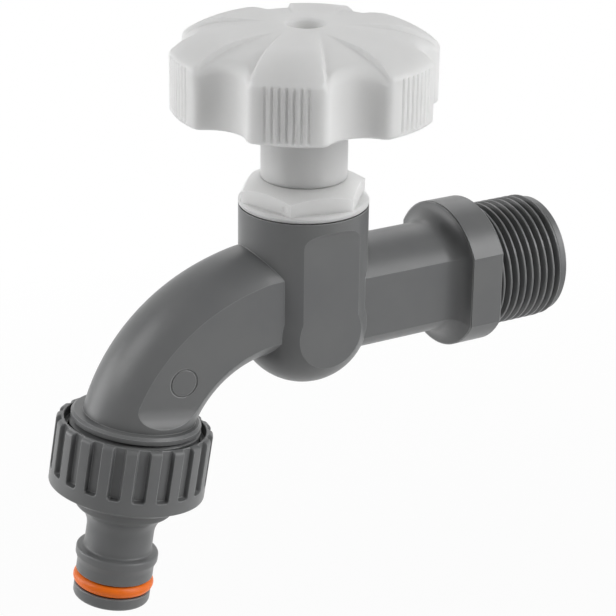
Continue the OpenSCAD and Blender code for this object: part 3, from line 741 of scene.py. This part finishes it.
@dataclass
class HoseConnector:
    """The grey connector: a ribbed grip ring over a push-on nipple, turned about the outlet's axis.

    Sizes are in millimetres; heights are counted up the outlet's axis from the outlet's face.
    """

    axis_x: float = -55.173
    outlet: tuple[float, float] = (-39.98049, -28.51291)
    lean: float = 9.6
    grip: float = 15.8
    mouth: float = 10.0
    grip_foot: float = -3.6
    bevel: float = -5.0
    bevel_r: float = 13.2
    rib_floor: float = 14.72
    rib_length: float = 10.8
    groove_half: float = 1.25
    ribs: int = 20
    rib_turn: float = -1.0
    socket: float = 13.29
    seat: float = -2.4
    neck: float = 6.9
    step: float = 9.95
    step_z: float = -8.1
    flare_height: float = 4.9
    latch: float = 8.4
    nose: float = 7.85
    latch_z: float = -17.4
    ring: float = 8.25
    ring_z: float = -24.2
    ring_section: float = 2.7
    tip: float = -28.4
    bore: float = 4.7

    def angles(self) -> Array:
        """Angles of the grid's columns: close together at the walls of the grooves."""
        half = 180.0 / self.ribs
        wall = math.degrees(self.groove_half / self.grip)
        near = wall + np.array([-1.1, -0.7, -0.4, -0.15, 0.1, 0.35, 0.6, 1.0])
        one = np.concatenate([[0.0, 1.2, 2.4], near, np.linspace(near[-1] + 0.8, half - 0.4, 3)])
        whole = np.concatenate([-one[:0:-1], one])
        step = 2 * half
        return np.radians(np.concatenate([whole + k * step for k in range(self.ribs)]) + self.rib_turn)

    def groove(self, theta: Array, z: Array) -> Array:
        """Share from 0 to 1 of a groove's depth: 1 well inside a rounded rectangle that is open at the mouth."""
        step = 360.0 / self.ribs
        angle = np.mod(np.degrees(theta) - self.rib_turn + step / 2, step) - step / 2
        aside = np.abs(np.radians(angle)) * self.grip
        corner = 0.6
        across = aside - (self.groove_half - corner)
        down = (self.mouth - self.rib_length + corner) - z
        outside = np.hypot(np.maximum(across, 0), np.maximum(down, 0)) + np.minimum(np.maximum(across, down), 0)
        return 1 - smoothstep(-0.22, 0.16, outside - corner)

    def profile(self) -> tuple[Array, int, int]:
        """The connector's half section as a closed loop of radius and height.

        Returns:
            The loop's points, and the first and last index of the stretch that carries the grooves.
        """
        mouth, foot = self.mouth, self.grip_foot
        lip = 0.9
        inner = [[self.socket, self.seat], [self.socket, mouth - 2.1], [self.socket + 0.1, mouth - 2.0],
                 [14.28, mouth - 2.0], [14.28, mouth - 0.15], [14.4, mouth]]
        top = arc((self.grip - lip, mouth - lip), lip, 90, 0, 8)
        face_z = np.concatenate([np.linspace(mouth - 1.4, mouth - self.rib_length + 1.4, 8),
                                 mouth - self.rib_length + np.linspace(1.1, -0.3, 9),
                                 [foot + 1.6, foot + 0.6]])
        face = np.stack([np.full(len(face_z), self.grip), face_z], -1)
        skirt = np.concatenate([arc((self.grip - 0.2, foot + 0.05), 0.2, 0, -28, 3)[1:],
                                arc((self.bevel_r + 0.1, self.bevel + 0.35), 0.35, -30, -90, 4)])
        width = self.step - self.neck
        radius = (width ** 2 + self.flare_height ** 2) / (2 * width)
        opening = math.degrees(math.asin(self.flare_height / radius))
        below = np.concatenate([
            [[self.step + 0.9, self.bevel]], arc((self.step + 0.25, self.bevel - 0.25), 0.25, 90, 180, 4),
            arc((self.step - 0.3, self.step_z + 0.3), 0.3, 0, -60, 4),
            arc((self.neck + radius, self.step_z - self.flare_height), radius, 180 - opening + 4, 180, 14)])
        latch = self.latch_z
        collar = np.concatenate([
            arc((self.neck + 0.5, latch + 0.62), 0.5, 180, 262, 4),
            arc((self.latch - 0.55, latch - 0.5), 0.55, 80, 0, 6), [[self.latch, latch - 1.3]],
            arc((self.latch - 0.5, latch - 1.55), 0.5, 0, -35, 3), [[self.nose + 0.08, latch - 2.8],
            [self.nose, latch - 3.3]]])
        half = self.ring_section / 2
        seat = self.ring - self.ring_section
        ring = np.array([[self.nose, self.ring_z + half + 0.25], [self.nose - 0.2, self.ring_z + half + 0.05],
                         [seat, self.ring_z + half], [seat, self.ring_z - half],
                         [self.nose - 0.2, self.ring_z - half - 0.05], [self.nose, self.ring_z - half - 0.25]])
        tip = np.concatenate([arc((self.nose - 1.0, self.tip + 1.0), 1.0, 0, -90, 8),
                              arc((self.bore + 0.5, self.tip + 0.5), 0.5, -90, -180, 5)])
        within = np.array([[self.bore, -20.0], [self.bore, -12.0], [self.bore, self.bevel - 0.4], [8.5, self.seat]])
        loop = np.concatenate([np.array(inner), top, face, skirt, below, collar, ring, tip, within])
        first = len(inner)
        return loop, first, first + len(top) + len(face)

    def build(self) -> bpy.types.Object:
        """Builds the connector in place of the CAD one and puts it on the connector's body.

        Returns:
            The finished piece.
        """
        loop, first, last = self.profile()
        theta = self.angles()
        radii = np.repeat(loop[:, :1], len(theta), axis=1)
        heights = np.repeat(loop[:, 1:], len(theta), axis=1)
        depth = self.groove(np.broadcast_to(theta, radii.shape), heights)
        floor = np.minimum(radii, self.rib_floor)
        carved = radii + (floor - radii) * depth
        radii[first:last] = carved[first:last]
        lean = math.radians(self.lean)
        across = np.array([math.cos(lean), 0, -math.sin(lean)])
        up = np.array([math.sin(lean), 0, math.cos(lean)])
        x, y = radii * np.cos(theta), radii * np.sin(theta)
        points = (x[..., None] * across + y[..., None] * np.array([0, 1, 0]) + heights[..., None] * up).reshape(-1, 3)
        points += [self.axis_x + self.outlet[0], 0, self.outlet[1]]
        piece = new_piece("ribbed_hose_connector", points, ring_faces(len(loop), len(theta))[:, ::-1], crisp=40)
        dress(piece, Stock.BODY)
        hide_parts("tap_connector")
        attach(piece, "connector")
        return piece


# Pieces that keep their CAD surface


@dataclass(frozen=True)
class CarriedPieces:
    """The CAD nodes that show as they are, with their finishes."""

    stocks: tuple[tuple[str, Stock], ...] = (
        ("bonnet", Stock.WHEEL), ("spindle", Stock.BRASS), ("valve_carrier", Stock.BRASS),
        ("washer_screw", Stock.PLATED), ("handle_screw", Stock.PLATED), ("nipple_seal", Stock.ORANGE_RING),
        ("bonnet_seal", Stock.BLACK_RUBBER), ("spindle_seal_lower", Stock.BLACK_RUBBER),
        ("spindle_seal_upper", Stock.BLACK_RUBBER), ("valve_washer", Stock.BLACK_RUBBER),
        ("connector_washer", Stock.BLACK_RUBBER))

    def build(self) -> list[bpy.types.Object]:
        """Dresses each node and returns them."""
        for node, stock in self.stocks:
            dress(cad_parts[node], stock)
        return [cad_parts[node] for node, _ in self.stocks]


# Studio


@dataclass(frozen=True)
class Lamp:
    """A square soft box that looks at the tap. Places and sizes in metres."""

    name: str
    place: tuple[float, float, float]
    size: float
    power: float


@dataclass(frozen=True)
class Studio:
    """A pale floor, soft light and the camera at the photograph's angle."""

    target: tuple[float, float, float] = (-0.055, 0.0, 0.0)
    floor_z: float = -0.16
    floor_half: float = 4.0
    fade: tuple[float, float] = (0.2, 0.45)
    shadow_white: float = 0.93
    lamps: tuple[Lamp, ...] = (
        Lamp("back", (0.382, 0.741, 0.602), 0.6, 1.1),
        Lamp("low_back_right", (0.927, -0.367, 0.055), 0.6, 0.5),
        Lamp("side_left", (-0.884, 0.23, 0.602), 0.6, 4.2),
        Lamp("side_right", (0.548, -0.613, 0.602), 0.6, 5.8),
        Lamp("low_back_left", (-0.852, 0.681, 0.055), 0.6, 4),
        Lamp("low_right", (0.539, -0.864, 0.055), 0.6, 2.3))
    world_strength: float = 0.02
    camera_place: tuple[float, float, float] = (-259.7006, -349.5386, 167.8962)
    camera_right: tuple[float, float, float] = (0.86424774, -0.50290561, 0.01271965)
    camera_up: tuple[float, float, float] = (0.18396365, 0.33947406, 0.9224504)
    camera_back: tuple[float, float, float] = (-0.46822347, -0.79488572, 0.38590604)
    lens_mm: float = 124.95
    sensor_mm: float = 36.0

    def floor(self) -> None:
        """Lays a plain pale floor that takes the tap's shadow and shows white to the camera and in reflections."""
        half = self.floor_half / MM
        points = np.array([[-half, -half, 0], [half, -half, 0], [half, half, 0], [-half, half, 0]])
        piece = new_piece("floor", points + [0, 0, self.floor_z / MM], np.array([[0, 1, 2, 3]]))
        made = bpy.data.materials.new("pale_floor")
        made.use_nodes = True
        tree = made.node_tree
        tree.nodes.clear()
        diffuse = add_node(tree, "ShaderNodeBsdfDiffuse", {"Color": linear("#FAFAFA")})
        glow = add_node(tree, "ShaderNodeEmission", {"Color": (1, 1, 1, 1), "Strength": 1.0})
        place = add_node(tree, "ShaderNodeTexCoord").outputs["Object"]
        away = add_node(tree, "ShaderNodeVectorMath", {"operation": "LENGTH"})
        tree.links.new(place, away.inputs[0])
        white = remap(tree, away.outputs["Value"], self.fade, (self.shadow_white, 1.0))
        share = add_node(tree, "ShaderNodeMath", {"operation": "MULTIPLY"})
        tree.links.new(self.seen(tree), share.inputs[0])
        tree.links.new(white, share.inputs[1])
        both = add_node(tree, "ShaderNodeMixShader", None, {"Fac": share.outputs[0]})
        tree.links.new(diffuse.outputs["BSDF"], both.inputs[1])
        tree.links.new(glow.outputs["Emission"], both.inputs[2])
        add_node(tree, "ShaderNodeOutputMaterial", None, {"Surface": both.outputs["Shader"]})
        piece.data.materials.append(made)

    def seen(self, tree: bpy.types.NodeTree) -> Socket:
        """Adds a value that is 1 for what the camera sees, straight or in a reflection or through glass, else 0."""
        path = add_node(tree, "ShaderNodeLightPath").outputs
        straight = add_node(tree, "ShaderNodeMath", {"operation": "MAXIMUM"})
        tree.links.new(path["Is Camera Ray"], straight.inputs[0])
        tree.links.new(path["Is Glossy Ray"], straight.inputs[1])
        whole = add_node(tree, "ShaderNodeMath", {"operation": "MAXIMUM"})
        tree.links.new(straight.outputs[0], whole.inputs[0])
        tree.links.new(path["Is Transmission Ray"], whole.inputs[1])
        return whole.outputs[0]

    def light(self) -> None:
        """Sets the soft boxes and a pale world that is pure white to the camera and in reflections."""
        for lamp in self.lamps:
            data = bpy.data.lights.new(lamp.name, "AREA")
            data.shape = "SQUARE"
            data.size = lamp.size
            data.energy = lamp.power
            thing = bpy.data.objects.new(lamp.name, data)
            way = Vector(lamp.place) - Vector(self.target)
            thing.matrix_world = Matrix.Translation(lamp.place) @ way.to_track_quat("Z", "Y").to_matrix().to_4x4()
            bpy.context.scene.collection.objects.link(thing)
        world = bpy.data.worlds.new("studio")
        bpy.context.scene.world = world
        world.use_nodes = True
        tree = world.node_tree
        tree.nodes.clear()
        strength = remap(tree, self.seen(tree), (0.0, 1.0), (self.world_strength, 1.0))
        glow = add_node(tree, "ShaderNodeBackground", {"Color": (1, 1, 1, 1)}, {"Strength": strength})
        add_node(tree, "ShaderNodeOutputWorld", None, {"Surface": glow.outputs["Background"]})

    def camera(self) -> None:
        """Sets the camera where the photograph was taken from."""
        data = bpy.data.cameras.new("camera")
        data.sensor_width = self.sensor_mm
        data.sensor_fit = "HORIZONTAL"
        data.lens = self.lens_mm
        data.clip_start = 0.01
        data.clip_end = 50.0
        thing = bpy.data.objects.new("camera", data)
        turn = Matrix((self.camera_right, self.camera_up, self.camera_back)).transposed().to_4x4()
        thing.matrix_world = Matrix.Translation(Vector(self.camera_place) * MM) @ turn
        bpy.context.scene.collection.objects.link(thing)
        bpy.context.scene.camera = thing

    def build(self) -> None:
        """Builds the floor, the light and the camera."""
        self.floor()
        self.light()
        self.camera()
        bpy.context.scene.view_settings.view_transform = "Standard"


def plain(box: Sequence[Sequence[float]]) -> list[list[float]]:
    """Turns a box's two corners into plain lists of numbers."""
    return [[float(value) for value in corner] for corner in box]


def main() -> None:
    """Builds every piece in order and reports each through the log."""
    logging.basicConfig(level=logging.INFO, format="%(name)s: %(message)s")
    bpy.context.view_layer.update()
    for part in (TapBody(), Handwheel(), HoseConnector()):
        piece = part.build()
        log.info("%s: %d faces", piece.name, len(piece.data.polygons))
    for piece in CarriedPieces().build():
        log.info("%s keeps its CAD surface", piece.name)
    Studio().build()
    log.info("studio built")


if __name__ == "__main__":
    main()
